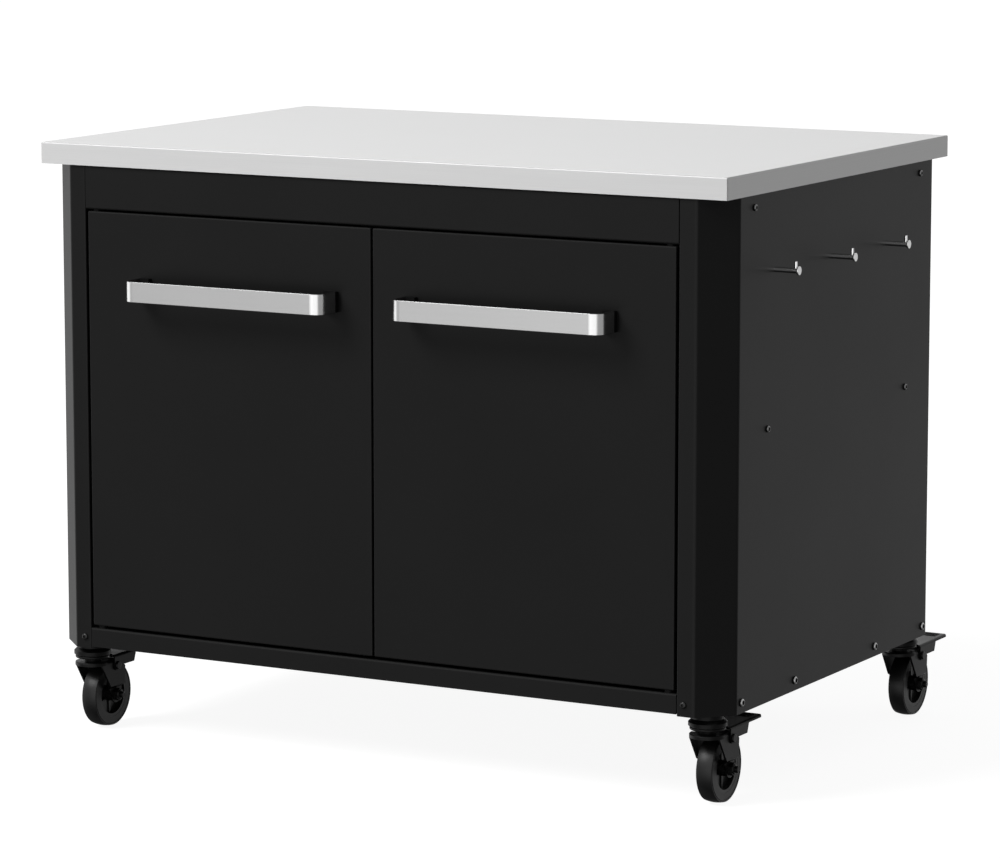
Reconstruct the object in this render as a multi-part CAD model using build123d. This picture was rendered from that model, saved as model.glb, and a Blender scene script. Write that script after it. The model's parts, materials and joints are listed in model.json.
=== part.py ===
from build123d import *
import os

# Outdoor kitchen: a two-door sheet-steel cabinet under a worktop, on four braked swivel casters.
# Millimetres. X runs along the worktop, Y from front to back, Z up. The origin is on the floor,
# below the middle of the cabinet.

# Worktop
worktop_width = 1140.0
worktop_depth = 760.0
worktop_height = 900.0
worktop_thickness = 32.0
worktop_sheet = 1.5
worktop_lip = 25.0
worktop_edge_radius = 2.0
worktop_overhang = 4.0
worktop_screw_inset = 32.0
worktop_screw_spread = 300.0
worktop_screw_bite = 14.0

# Folded walls, rails and panels
sheet = 1.5
wall_bend = 7.0
jamb_bend = 2.5
rail_bend = 3.0
corner_cut = 45.0
front_strip = 27.0
jamb_depth = 24.0
rear_strip = 60.0
fascia_height = 65.0
sill_height = 29.0
rail_depth = 40.0
seam = 0.4
wall_drop = 2.5
sill_tab_reach = 24.0
sill_tab_margin = 4.0
panel_clearance = 0.5
back_panel_lap = 47.0
back_panel_flange = 40.0
back_screw_margin = 60.0

# Inner frame
bracket_sheet = 2.0
bearer_leg = 36.0
bearer_flange = 40.0
bearer_length = 600.0
bearer_screw_inset = 15.0
beam_plate = 3.0
beam_reach = 60.0
base_screw_inset = 61.0
base_screw_pitch = 175.0
front_screw_inset = 11.0
shelf_top = 550.0
shelf_flange = 36.0
shelf_depth = 650.0
shelf_screw_y = 238.0

# Doors
door_thickness = 20.0
door_lip = 18.0
door_edge_radius = 2.0
door_gap_side = 4.0
door_gap_middle = 3.0
door_gap_top = 3.0
door_gap_bottom = 4.5
liner_sheet = 1.2
liner_clearance = 0.3

# Door pivots
pivot_inset = 12.0
pivot_radius = 4.0
pivot_block_size = 14.0
pivot_bite = 8.0
bush_wall = 2.0
bush_flange_wall = 3.0
bush_length = 9.0
bush_top_clearance = 0.6
bush_rest_clearance = 0.3
running_clearance = 0.05
hole_clearance = 0.2

# Magnetic catch
catch_width = 60.0
catch_depth = 18.0
catch_height = 12.0
catch_gap = 0.3
catch_edge_radius = 1.5

# Strap handles
handle_length = 342.0
handle_height = 30.5
handle_strap = 4.0
handle_edge_radius = 0.8
handle_leg = 41.5
handle_bend = 19.0
handle_block_width = 14.0
handle_block_depth = 12.0
handle_block_height = 18.0
handle_pad = 8.5
handle_pad_width = 20.0
handle_pad_edge = 1.0
handle_end_inset = 54.5
handle_drop = 110.0
handle_screw_bite = 9.0

# Tool hooks on the right wall
hook_first_y = -217.0
hook_pitch = 190.0
hook_drop = 111.5
hook_reach = 38.0
hook_rod_radius = 4.0
hook_disc_radius = 6.4
hook_disc_thickness = 3.0
hook_keeper_radius = 2.3
hook_keeper_setback = 4.4
hook_keeper_rise = 13.0
hook_stud_radius = 3.0
hook_stud_length = 9.0
hook_nut_width = 10.0
hook_nut_height = 5.0

# Screws
screw_radius = 3.0
screw_length = 10.0
button_head_radius = 5.0
button_head_height = 3.2
dome_head_radius = 5.9
dome_head_height = 3.3
dome_socket_width = 5.0
socket_width = 3.6
socket_depth = 1.8
wood_screw_radius = 2.5
wood_screw_head_radius = 4.5

# Casters
caster_inset = 48.0
caster_trail = 36.0
wheel_diameter = 100.0
wheel_clearance = 4.0
tyre_width = 24.0
tyre_side = 12.5
tyre_wall = 14.0
rim_wall = 5.0
rim_width = 23.6
web_thickness = 7.0
hub_radius = 11.5
hub_side_clearance = 0.5
spoke_count = 6
spoke_thickness = 4.0
spoke_width = 11.0
tyre_seat_clearance = 0.1

fork_plate = 3.0
fork_gap = 43.0
fork_tab_gap = 31.0
fork_joggle_top = 15.5
fork_joggle_bottom = 10.5
fork_bend = 6.0
fork_boss_radius = 13.0
fork_leg_front = -10.0
fork_leg_lip = 7.0
fork_nose_radius = 26.5
fork_nose_depth = 5.5
fork_nose_wall = 3.0
fork_nose_edge = 1.5
fork_top_rear = 31.0
fork_ear_rear = 16.0
fork_ear_drop = 14.0

neck_radius = 12.0
neck_height = 6.0
race_radius = 26.0
race_height = 4.0
race_edge_radius = 1.2
swivel_gap = 0.3
cup_radius = 28.0
cup_inner_radius = 24.0
cup_step = 1.7
cup_rim = 5.0
cup_slope = 5.0
collar_radius = 23.0
collar_height = 10.0
kingpin_radius = 6.0
rivet_head_radius = 9.5
rivet_head_height = 6.0
stem_length = 19.0
stem_nut_width = 19.0
stem_nut_height = 10.0

axle_radius = 5.0
axle_head_width = 16.0
axle_head_height = 6.0
axle_nut_width = 17.0
axle_nut_height = 6.5
axle_end = 6.5
axle_end_chamfer = 1.2

pedal_plate = 2.0
pedal_rise = 7.0
pedal_end = 121.0
pedal_end_radius = 4.0
pedal_bend = 4.0
pedal_side_clearance = 0.5
pedal_head_clearance = 2.5
pedal_flange_front = 20.0
pedal_flange_rear = 78.0
pedal_flange_depth = 16.0
pedal_flange_slant = 5.0
pedal_pivot_ahead = 8.0
pedal_pivot_drop = 10.0
pedal_pivot_radius = 4.0
pedal_ear_radius = 8.0
pedal_rivet_head = 6.5
pedal_rivet_dome = 2.2
shoe_width = 22.0
shoe_length = 16.0
shoe_behind = 22.0
shoe_gap = 5.5

# Places that follow from the sizes above
axle_z = wheel_diameter / 2
fork_top = wheel_diameter + wheel_clearance + fork_plate
race_top = fork_top + neck_height + race_height
cup_bottom = race_top + swivel_gap + cup_step
cup_top = cup_bottom + cup_rim
body_bottom = cup_top + cup_slope + collar_height

half_width = worktop_width / 2 - worktop_overhang
half_depth = worktop_depth / 2 - worktop_overhang
body_top = worktop_height - worktop_thickness
wall_inside_x = half_width - sheet
panel_inside_y = half_depth - sheet
jamb_x = half_width - corner_cut - front_strip
opening_top = body_top - fascia_height
opening_bottom = body_bottom + sill_height
front_screw_x = jamb_x + front_screw_inset
front_screw_z = body_bottom + sill_height / 2
bearer_screw_y = bearer_length / 2 - bearer_screw_inset
bearer_screw_z = body_top - bearer_leg / 2
shelf_screw_z = shelf_top - shelf_flange / 2
hook_height = body_top - hook_drop
beam_height = sill_height - 2 * sheet
base_screw_z = body_bottom + beam_height / 2
base_screw_y = (half_depth - base_screw_inset, half_depth - base_screw_inset - base_screw_pitch)
floor_top = opening_bottom - sheet

door_width = jamb_x - door_gap_side - door_gap_middle / 2
door_height = opening_top - door_gap_top - opening_bottom - door_gap_bottom
door_x = door_gap_middle / 2 + door_width / 2
door_top = opening_top - door_gap_top
door_bottom = opening_bottom + door_gap_bottom
door_z = (door_top + door_bottom) / 2
door_back_y = -half_depth + door_thickness
pivot_x = door_x + door_width / 2 - pivot_inset
pivot_y = -half_depth + door_thickness / 2
bush_radius = pivot_radius + bush_wall
bush_flange_radius = pivot_radius + bush_flange_wall

handle_inner_x = door_gap_middle / 2 + handle_end_inset
handle_outer_x = handle_inner_x + handle_length
handle_z = door_top - handle_drop
pad_front_y = -half_depth - handle_pad
handle_front_y = pad_front_y - handle_leg
handle_screw_inset = handle_strap + handle_block_width / 2
handle_screw_x = (handle_inner_x + handle_screw_inset, handle_outer_x - handle_screw_inset)

caster_x = worktop_width / 2 - caster_inset
caster_y = worktop_depth / 2 - caster_inset
beam_inside_x = caster_x - beam_reach
fork_side_x = fork_gap / 2 + fork_plate
fork_tab_x = fork_tab_gap / 2 + fork_plate
pedal_top = fork_top + pedal_rise
pedal_pivot_y = caster_trail - pedal_pivot_ahead
pedal_pivot_z = fork_top - pedal_pivot_drop
shoe_start = caster_trail + shoe_behind
pedal_side_x = fork_side_x + pedal_side_clearance + pedal_plate
tyre_bore = wheel_diameter / 2 - tyre_wall

BOTTOM = (Align.CENTER, Align.CENTER, Align.MIN)
TOP = (Align.CENTER, Align.CENTER, Align.MAX)
CORNERS = {
    "front_left": (-1, -1),
    "front_right": (1, -1),
    "rear_left": (-1, 1),
    "rear_right": (1, 1),
}
SIDES = {"left": -1, "right": 1}


def sheet_profile(mould_line, bends, thickness):
    """Face across a folded sheet that lies to the left of its outside mould line and bends left."""
    outside = [Vector(*point) for point in mould_line]
    runs = [(end - start).normalized() for start, end in zip(outside, outside[1:])]
    lefts = [Vector(-run.Y, run.X) for run in runs]
    inside = [outside[0] + lefts[0] * thickness]
    for corner, before, after in zip(outside[1:-1], lefts, lefts[1:]):
        inside.append(corner + (before + after) * (thickness / (1 + before.dot(after))))
    inside.append(outside[-1] + lefts[-1] * thickness)
    outline = FilletPolyline(*outside, radius=list(bends)).edges()
    outline += FilletPolyline(*inside, radius=[bend - thickness for bend in bends]).edges()
    outline += [Line(outside[0], inside[0]).edge(), Line(outside[-1], inside[-1]).edge()]
    return make_face(outline)


def sheet_tray(width, depth, height, thickness, lip, edge_radius):
    """Folded tray, face up at Z = 0, open below inside a lip that is turned in all round."""
    block = Box(width, depth, height, align=TOP)
    rounded = block.edges().filter_by(Axis.Z) + block.faces().sort_by(Axis.Z)[-1].edges()
    hollow = Box(width - 2 * thickness, depth - 2 * thickness, height - 2 * thickness, align=TOP)
    mouth = Box(width - 2 * lip, depth - 2 * lip, height - thickness, align=TOP)
    return fillet(rounded, edge_radius) - Pos(0, 0, -thickness) * hollow - Pos(0, 0, -thickness) * mouth


def cap_screw(head_radius, head_height, shank_radius, length, socket_size):
    """Domed screw with a hexagon socket: the head stands on Z = 0 and the shank points down."""
    head = Cylinder(head_radius, head_height, align=BOTTOM)
    head = fillet(head.faces().sort_by(Axis.Z)[-1].edges(), head_height * 0.75)
    socket = extrude(RegularPolygon(socket_size / 2, 6, major_radius=False), socket_depth)
    shank = Cylinder(shank_radius, length, align=TOP)
    return head + shank - Pos(0, 0, head_height - socket_depth) * socket


def hex_nut(width, height, bore):
    """Hexagon nut standing on Z = 0."""
    return extrude(RegularPolygon(width / 2, 6, major_radius=False), height) - Cylinder(bore, 3 * height)


def facing(point, direction):
    """Location at a point with local Z along a direction."""
    return Plane(origin=point, z_dir=direction).location


def hole(point, direction, radius, depth):
    """Round cutter centred on a point of the sheet that it goes through."""
    return facing(point, direction) * Cylinder(radius, depth)


# Screw places on the walls, as the points where each head seats and the way it faces
def upper_screw_seats(side):
    seats = []
    for y in (-bearer_screw_y, bearer_screw_y):
        seats.append(((side * half_width, y, bearer_screw_z), (side, 0, 0)))
    for y in (-shelf_screw_y, shelf_screw_y):
        seats.append(((side * half_width, y, shelf_screw_z), (side, 0, 0)))
    return seats


def front_screw_seats(side):
    return [((side * front_screw_x, -half_depth, front_screw_z), (0, -1, 0))]


def base_screw_seats(side):
    seats = []
    for y in base_screw_y:
        seats.append(((side * half_width, -y, base_screw_z), (side, 0, 0)))
        seats.append(((side * half_width, y, base_screw_z), (side, 0, 0)))
    return seats


def back_screw_seats(side):
    x = side * (half_width - corner_cut - rear_strip / 2)
    low = body_bottom + back_screw_margin
    high = body_top - back_screw_margin
    return [((x, half_depth, z), (0, 1, 0)) for z in (low, (low + high) / 2, high)]


def worktop_screw_seats():
    """Seats on the undersides of the flanges that carry the worktop."""
    seats = []
    for x in (-worktop_screw_spread, worktop_screw_spread):
        seats.append((x, worktop_screw_inset - half_depth, body_top - sheet))
        seats.append((x, half_depth - worktop_screw_inset, body_top - sheet))
    for side in SIDES.values():
        seats.append((side * (half_width - worktop_screw_inset), 0, body_top - bracket_sheet))
    return seats


def hook_seats():
    return [(half_width, hook_first_y + step * hook_pitch, hook_height) for step in range(3)]


def with_screw_holes(part, seats):
    cutters = [hole(point, way, screw_radius + hole_clearance, 4 * screw_length) for point, way in seats]
    return part - cutters


def with_worktop_holes(part):
    radius = wood_screw_radius + hole_clearance
    return part - [hole(point, (0, 0, 1), radius, 4 * bracket_sheet) for point in worktop_screw_seats()]


# Worktop
def worktop_skin():
    tray = sheet_tray(
        worktop_width, worktop_depth, worktop_thickness, worktop_sheet, worktop_lip, worktop_edge_radius
    )
    return Pos(0, 0, worktop_height) * tray


def worktop_core():
    width = worktop_width - 2 * worktop_sheet
    depth = worktop_depth - 2 * worktop_sheet
    board = Pos(0, 0, body_top + worktop_sheet) * Box(
        width, depth, worktop_thickness - 2 * worktop_sheet, align=BOTTOM
    )
    radius = wood_screw_radius + hole_clearance
    return board - [
        hole(point, (0, 0, 1), radius, 2 * (worktop_screw_bite + bracket_sheet) + 1)
        for point in worktop_screw_seats()
    ]


def worktop_screws():
    screw = cap_screw(
        wood_screw_head_radius, wood_screw_radius, wood_screw_radius, worktop_screw_bite, socket_width
    )
    return Compound([facing(point, (0, 0, -1)) * screw for point in worktop_screw_seats()])


# Walls and panels
def side_wall(side):
    strip_end = half_width - corner_cut
    mould_line = [
        (jamb_x, jamb_depth - half_depth),
        (jamb_x, -half_depth),
        (strip_end, -half_depth),
        (half_width, corner_cut - half_depth),
        (half_width, half_depth - corner_cut),
        (strip_end, half_depth),
        (strip_end - rear_strip, half_depth),
    ]
    profile = sheet_profile(mould_line, [jamb_bend] + [wall_bend] * 4, sheet)
    wall_bottom = body_bottom - wall_drop
    wall = extrude(Pos(0, 0, wall_bottom) * profile, body_top - wall_bottom, dir=(0, 0, 1))
    relief_height = opening_bottom + panel_clearance - wall_bottom
    relief = Pos(jamb_x, sheet - half_depth, wall_bottom) * Box(
        4 * jamb_bend, 2 * jamb_depth, relief_height, align=(Align.CENTER, Align.MIN, Align.MIN)
    )
    wall = wall - relief
    if side < 0:
        wall = mirror(wall, about=Plane.YZ)
    wall = with_screw_holes(wall, upper_screw_seats(side) + back_screw_seats(side))
    wall = with_screw_holes(wall, base_screw_seats(side) + front_screw_seats(side))
    if side > 0:
        hook_hole_radius = hook_stud_radius + hole_clearance
        wall = wall - [hole(point, (1, 0, 0), hook_hole_radius, 4 * sheet) for point in hook_seats()]
    return wall


def back_panel():
    mould_line = [
        (panel_inside_y, body_bottom + panel_clearance),
        (panel_inside_y, body_top),
        (panel_inside_y - back_panel_flange, body_top),
    ]
    profile = Plane.YZ * sheet_profile(mould_line, [rail_bend], sheet)
    reach = half_width - corner_cut - rear_strip + back_panel_lap
    panel = extrude(profile, reach, both=True)
    seats = back_screw_seats(-1) + back_screw_seats(1)
    return with_worktop_holes(with_screw_holes(panel, seats))


def cut_corner_outline(inner_x, outer_x):
    """Right half of a plate that follows the walls' 45 degree corners, panel_clearance inside them."""
    outer_y = panel_inside_y - sheet - panel_clearance
    diagonal = half_width + half_depth - corner_cut - (sheet + panel_clearance) * 2**0.5
    corner = [(outer_x, outer_x - diagonal), (outer_x, diagonal - outer_x)]
    return make_face(
        Polyline(
            (inner_x, -outer_y),
            (diagonal - outer_y, -outer_y),
            *corner,
            (diagonal - outer_y, outer_y),
            (inner_x, outer_y),
            close=True,
        )
    )


def floor_panel():
    half = cut_corner_outline(0, wall_inside_x - panel_clearance)
    panel = extrude(Pos(0, 0, floor_top - sheet) * (half + mirror(half, about=Plane.YZ)), sheet, dir=(0, 0, 1))
    radius = bush_radius + hole_clearance
    seats = [(side * pivot_x, pivot_y, floor_top) for side in SIDES.values()]
    return panel - [hole(point, (0, 0, 1), radius, 4 * sheet) for point in seats]


def base_beam(side):
    outer_x = wall_inside_x - panel_clearance
    plate = extrude(cut_corner_outline(beam_inside_x, outer_x), beam_plate, dir=(0, 0, 1))
    flat_length = 2 * (half_depth - corner_cut - wall_bend)
    flange = Box(bracket_sheet, flat_length, beam_height, align=(Align.MAX, Align.CENTER, Align.MIN))
    beam = plate + Pos(wall_inside_x, 0, 0) * flange + Pos(beam_inside_x + bracket_sheet, 0, 0) * flange
    beam = Pos(0, 0, body_bottom) * beam
    stem_radius = kingpin_radius + hole_clearance
    stems = [(caster_x, end * caster_y, body_bottom) for end in (-1, 1)]
    beam = beam - [hole(point, (0, 0, 1), stem_radius, 4 * beam_plate) for point in stems]
    if side < 0:
        beam = mirror(beam, about=Plane.YZ)
    outer_radius = screw_radius + hole_clearance
    bolts = base_screw_seats(side)
    return beam - [hole(point, way, outer_radius, 4 * screw_length) for point, way in bolts]


def pivot_holes(z):
    radius = bush_radius + hole_clearance
    return [hole((side * pivot_x, pivot_y, z), (0, 0, 1), radius, 4 * sheet) for side in SIDES.values()]


def fascia_rail():
    mould_line = [
        (rail_depth - half_depth, body_top),
        (-half_depth, body_top),
        (-half_depth, opening_top),
        (rail_depth - half_depth, opening_top),
    ]
    profile = Plane.YZ * sheet_profile(mould_line, [rail_bend] * 2, sheet)
    rail = extrude(profile, jamb_x - seam, both=True)
    return with_worktop_holes(rail) - pivot_holes(opening_top)


def sill_rail():
    mould_line = [
        (rail_depth - half_depth, opening_bottom),
        (-half_depth, opening_bottom),
        (-half_depth, body_bottom),
    ]
    profile = Plane.YZ * sheet_profile(mould_line, [rail_bend], sheet)
    rail = extrude(profile, jamb_x - seam, both=True)
    tab_height = sill_height - 2 * sill_tab_margin - sheet
    tab = Box(2 * sill_tab_reach, sheet, tab_height, align=(Align.CENTER, Align.MIN, Align.MIN))
    for side in SIDES.values():
        rail = rail + Pos(side * jamb_x, sheet - half_depth, body_bottom + sill_tab_margin) * tab
    seats = front_screw_seats(-1) + front_screw_seats(1)
    return with_screw_holes(rail, seats) - pivot_holes(opening_bottom)


def worktop_bearer(side):
    mould_line = [
        (wall_inside_x, body_top - bearer_leg),
        (wall_inside_x, body_top),
        (wall_inside_x - bearer_flange, body_top),
    ]
    profile = Plane.XZ * sheet_profile(mould_line, [rail_bend], bracket_sheet)
    bearer = extrude(profile, bearer_length / 2, both=True)
    if side < 0:
        bearer = mirror(bearer, about=Plane.YZ)
    return with_worktop_holes(with_screw_holes(bearer, upper_screw_seats(side)[:2]))


def shelf():
    tray = sheet_tray(2 * wall_inside_x, shelf_depth, shelf_flange, sheet, sheet, sheet)
    seats = upper_screw_seats(-1)[2:] + upper_screw_seats(1)[2:]
    return with_screw_holes(Pos(0, 0, shelf_top) * tray, seats)


def magnetic_catch():
    block = Box(catch_width, catch_depth, catch_height, align=(Align.CENTER, Align.MIN, Align.MAX))
    block = fillet(block.edges().filter_by(Axis.Z), catch_edge_radius)
    return Pos(0, door_back_y + catch_gap, opening_top) * block


# Doors, made for one side and hung on pivots at their outer edges
def door_pan(side):
    tray = sheet_tray(door_width, door_height, door_thickness, sheet, door_lip, door_edge_radius)
    pan = Pos(side * door_x, -half_depth, door_z) * Rot(90, 0, 0) * tray
    pin_radius = pivot_radius + hole_clearance
    for z in (door_bottom, door_top):
        pan = pan - hole((side * pivot_x, pivot_y, z), (0, 0, 1), pin_radius, 4 * sheet)
    for x in handle_screw_x:
        pan = pan - hole((side * x, -half_depth, handle_z), (0, 1, 0), screw_radius + hole_clearance, 4 * sheet)
    return pan


def door_liner(side):
    width = door_width - 2 * sheet - 2 * liner_clearance
    height = door_height - 2 * sheet - 2 * liner_clearance
    plate = Box(width, liner_sheet, height, align=(Align.CENTER, Align.MAX, Align.CENTER))
    return Pos(side * door_x, door_back_y - sheet, door_z) * plate


def hinge_pins(side):
    """Pivot blocks in the door's outer corners, each with its pin through the end of the door."""
    width = 2 * (pivot_inset - sheet)
    block = Box(width, pivot_block_size, pivot_block_size, align=TOP)
    pin = Cylinder(pivot_radius, sheet + door_gap_top + pivot_bite, align=BOTTOM)
    upper = Pos(side * pivot_x, pivot_y, door_top - sheet) * (block + pin)
    block = Box(width, pivot_block_size, pivot_block_size, align=BOTTOM)
    pin = Cylinder(pivot_radius, sheet + door_gap_bottom + pivot_bite, align=TOP)
    lower = Pos(side * pivot_x, pivot_y, door_bottom + sheet) * (block + pin)
    return Compound([upper, lower])


def hinge_bushes():
    bore = Cylinder(pivot_radius + running_clearance, 8 * bush_length)
    sleeve = Cylinder(bush_radius, bush_length, align=BOTTOM)
    top_flange = Cylinder(bush_flange_radius, door_gap_top - bush_top_clearance, align=TOP)
    rest_flange = Cylinder(bush_flange_radius, door_gap_bottom - bush_rest_clearance, align=BOTTOM)
    upper = sleeve + top_flange - bore
    lower = Rot(180, 0, 0) * sleeve + rest_flange - bore
    bushes = []
    for side in SIDES.values():
        bushes.append(Pos(side * pivot_x, pivot_y, opening_top) * upper)
        bushes.append(Pos(side * pivot_x, pivot_y, opening_bottom) * lower)
    return Compound(bushes)


def strap_handle(side):
    """Bent strap with a tapped block welded inside each leg."""
    mould_line = [
        (handle_inner_x, pad_front_y),
        (handle_inner_x, handle_front_y),
        (handle_outer_x, handle_front_y),
        (handle_outer_x, pad_front_y),
    ]
    profile = Pos(0, 0, handle_z) * sheet_profile(mould_line, [handle_bend] * 2, handle_strap)
    strap = extrude(profile, handle_height / 2, both=True)
    rims = strap.faces().sort_by(Axis.Z)[0].edges() + strap.faces().sort_by(Axis.Z)[-1].edges()
    strap = fillet(rims, handle_edge_radius)
    block = Box(
        handle_block_width, handle_block_depth, handle_block_height, align=(Align.CENTER, Align.MAX, Align.CENTER)
    )
    for x in handle_screw_x:
        strap = strap + Pos(x, pad_front_y, handle_z) * block
    for x in handle_screw_x:
        point = (x, pad_front_y, handle_z)
        strap = strap - hole(point, (0, 1, 0), screw_radius + hole_clearance, 3 * handle_block_depth)
    return mirror(strap, about=Plane.YZ) if side < 0 else strap


def handle_pads(side):
    pads = []
    for end, x in zip((1, -1), handle_screw_x):
        pad = Box(handle_pad_width, handle_pad, handle_height, align=(Align.CENTER, Align.MAX, Align.CENTER))
        pad = fillet(pad.edges().filter_by(Axis.Y), handle_pad_edge)
        centre = (handle_inner_x if end > 0 else handle_outer_x) + end * handle_pad_width / 2
        pad = Pos(side * centre, -half_depth, handle_z) * pad
        cutter = hole((side * x, -half_depth, handle_z), (0, 1, 0), screw_radius + hole_clearance, 4 * handle_pad)
        pads.append(pad - cutter)
    return Compound(pads)


def handle_screws(side):
    length = sheet + handle_pad + handle_screw_bite
    screw = cap_screw(button_head_radius, button_head_height, screw_radius, length, socket_width)
    seat_y = sheet - half_depth
    return Compound([facing((side * x, seat_y, handle_z), (0, 1, 0)) * screw for x in handle_screw_x])


# Tool hooks
def tool_hook(seat):
    rod = Cylinder(hook_rod_radius, hook_reach, align=BOTTOM)
    disc = Pos(0, 0, hook_reach) * Cylinder(hook_disc_radius, hook_disc_thickness, align=TOP)
    disc = fillet(disc.edges(), hook_disc_thickness / 4)
    stud = Cylinder(hook_stud_radius, hook_stud_length, align=TOP)
    peg = Pos(*seat) * Rot(0, 90, 0) * (rod + disc + stud)
    keeper = Cylinder(hook_keeper_radius, hook_keeper_rise, align=BOTTOM)
    keeper = fillet(keeper.faces().sort_by(Axis.Z)[-1].edges(), hook_keeper_radius / 2)
    keeper_x = hook_reach - hook_disc_thickness / 2 - hook_keeper_setback
    peg = peg + Pos(seat[0] + keeper_x, seat[1], seat[2]) * keeper
    nut = hex_nut(hook_nut_width, hook_nut_height, hook_stud_radius + hole_clearance)
    inside = (seat[0] - sheet, seat[1], seat[2])
    return Compound([peg, facing(inside, (-1, 0, 0)) * nut])


# Fasteners, grouped by kind
def screw_group(seats, head_radius, head_height, socket_size):
    screw = cap_screw(head_radius, head_height, screw_radius, screw_length, socket_size)
    return Compound([facing(point, way) * screw for point, way in seats])


# Casters, made about the swivel axis at X = Y = 0 with the wheel trailing towards +Y
def caster_head():
    """Fixed part of the swivel: rivet head, kingpin, ball-race cup, collar and threaded stem with its nut."""
    plate_bottom = fork_top - fork_plate - swivel_gap
    race_seat = race_top + swivel_gap
    stem_top = body_bottom + stem_length
    outline = Polyline(
        (0, plate_bottom - rivet_head_height),
        (rivet_head_radius, plate_bottom - rivet_head_height),
        (rivet_head_radius, plate_bottom),
        (kingpin_radius, plate_bottom),
        (kingpin_radius, race_seat),
        (cup_inner_radius, race_seat),
        (cup_inner_radius, cup_bottom),
        (cup_radius, cup_bottom),
        (cup_radius, cup_top),
        (collar_radius, cup_top + cup_slope),
        (collar_radius, body_bottom),
        (kingpin_radius, body_bottom),
        (kingpin_radius, stem_top),
        (0, stem_top),
        close=True,
    )
    head = revolve(Plane.XZ * make_face(outline), Axis.Z)
    nut = hex_nut(stem_nut_width, stem_nut_height, kingpin_radius + hole_clearance)
    return Compound([head, Pos(0, 0, body_bottom + beam_plate) * nut])


def along_axle(radius, start, length):
    """Round bar along X at the wheel's axle, from a start face."""
    return Pos(start, caster_trail, axle_z) * Rot(0, 90, 0) * Cylinder(radius, length, align=BOTTOM)


def at_pedal_pivot(radius, start, length):
    return Pos(start, pedal_pivot_y, pedal_pivot_z) * Rot(0, 90, 0) * Cylinder(radius, length, align=BOTTOM)


def caster_fork():
    """Pressed fork: a bent strap whose legs step in at the axle, trimmed to their side outline, with its ball race."""
    joggle_top = axle_z + fork_joggle_top
    joggle_bottom = axle_z + fork_joggle_bottom
    strap_line = [
        (fork_side_x, joggle_top),
        (fork_side_x, fork_top),
        (-fork_side_x, fork_top),
        (-fork_side_x, joggle_top),
    ]
    section = sheet_profile(strap_line, [fork_bend] * 2, fork_plate)
    step = make_face(
        Polyline(
            (fork_side_x, joggle_top),
            (fork_tab_x, joggle_bottom),
            (fork_tab_x, 0),
            (fork_tab_x - fork_plate, 0),
            (fork_tab_x - fork_plate, joggle_bottom),
            (fork_side_x - fork_plate, joggle_top),
            close=True,
        )
    )
    section = section + step + mirror(step, about=Plane.YZ)
    strap = extrude(Plane.XZ * section, 2 * wheel_diameter, both=True)
    boss_front = (caster_trail - fork_boss_radius, axle_z)
    boss_rear = (caster_trail + fork_boss_radius, axle_z)
    ear = (caster_trail + fork_ear_rear, fork_top - fork_ear_drop)
    lip = (fork_leg_front, fork_top - fork_leg_lip)
    outline = [
        Line((fork_leg_front, fork_top), (fork_top_rear, fork_top)),
        Line((fork_top_rear, fork_top), ear),
        Line(ear, boss_rear),
        ThreePointArc(boss_rear, (caster_trail, axle_z - fork_boss_radius), boss_front),
        Line(boss_front, lip),
        Line(lip, (fork_leg_front, fork_top)),
    ]
    side_view = make_face([line.edge() for line in outline])
    fork = strap & extrude(Plane.YZ * side_view, 2 * fork_side_x, both=True)
    nose = Pos(0, 0, fork_top) * Cylinder(fork_nose_radius, fork_nose_depth, align=TOP)
    nose = fillet(nose.faces().sort_by(Axis.Z)[-1].edges(), fork_nose_edge)
    nose = nose - Pos(0, 0, fork_top - fork_plate) * Cylinder(fork_nose_radius - fork_nose_wall, fork_top, align=TOP)
    front_half = Box(4 * fork_side_x, 4 * fork_side_x, 4 * fork_top, align=(Align.CENTER, Align.MAX, Align.CENTER))
    fork = fork + (nose & front_half)
    neck = Pos(0, 0, fork_top - fork_plate) * Cylinder(neck_radius, fork_plate + neck_height, align=BOTTOM)
    race = Cylinder(race_radius, race_height, align=BOTTOM)
    race = fillet(race.faces().filter_by(Axis.Z).edges(), race_edge_radius)
    fork = fork + neck + Pos(0, 0, fork_top + neck_height) * race
    fork = fork - Cylinder(kingpin_radius + running_clearance, 3 * race_top)
    fork = fork - along_axle(axle_radius + hole_clearance, -2 * fork_side_x, 4 * fork_side_x)
    return fork - at_pedal_pivot(pedal_pivot_radius + hole_clearance, -2 * fork_side_x, 4 * fork_side_x)


def caster_pins():
    """Axle bolt, its nut and the two rivets that the brake pedal tips on."""
    head = extrude(RegularPolygon(axle_head_width / 2, 6, major_radius=False), -axle_head_height)
    shank = Cylinder(axle_radius, 2 * fork_tab_x + axle_nut_height + axle_end, align=BOTTOM)
    shank = chamfer(shank.faces().sort_by(Axis.Z)[-1].edges(), axle_end_chamfer)
    bolt = Pos(-fork_tab_x, caster_trail, axle_z) * Rot(0, 90, 0) * (head + shank)
    nut = hex_nut(axle_nut_width, axle_nut_height, axle_radius + hole_clearance)
    nut = Pos(fork_tab_x, caster_trail, axle_z) * Rot(0, 90, 0) * nut
    rivet_length = pedal_side_x + swivel_gap - fork_gap / 2
    dome = Cylinder(pedal_rivet_head, pedal_rivet_dome, align=BOTTOM)
    dome = fillet(dome.faces().sort_by(Axis.Z)[-1].edges(), pedal_rivet_dome * 0.75)
    rivet = Cylinder(pedal_pivot_radius, rivet_length, align=TOP) + dome
    seat = (pedal_side_x + swivel_gap, pedal_pivot_y, pedal_pivot_z)
    right = facing(seat, (1, 0, 0)) * rivet
    return Compound([bolt, nut, right, mirror(right, about=Plane.YZ)])


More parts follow.
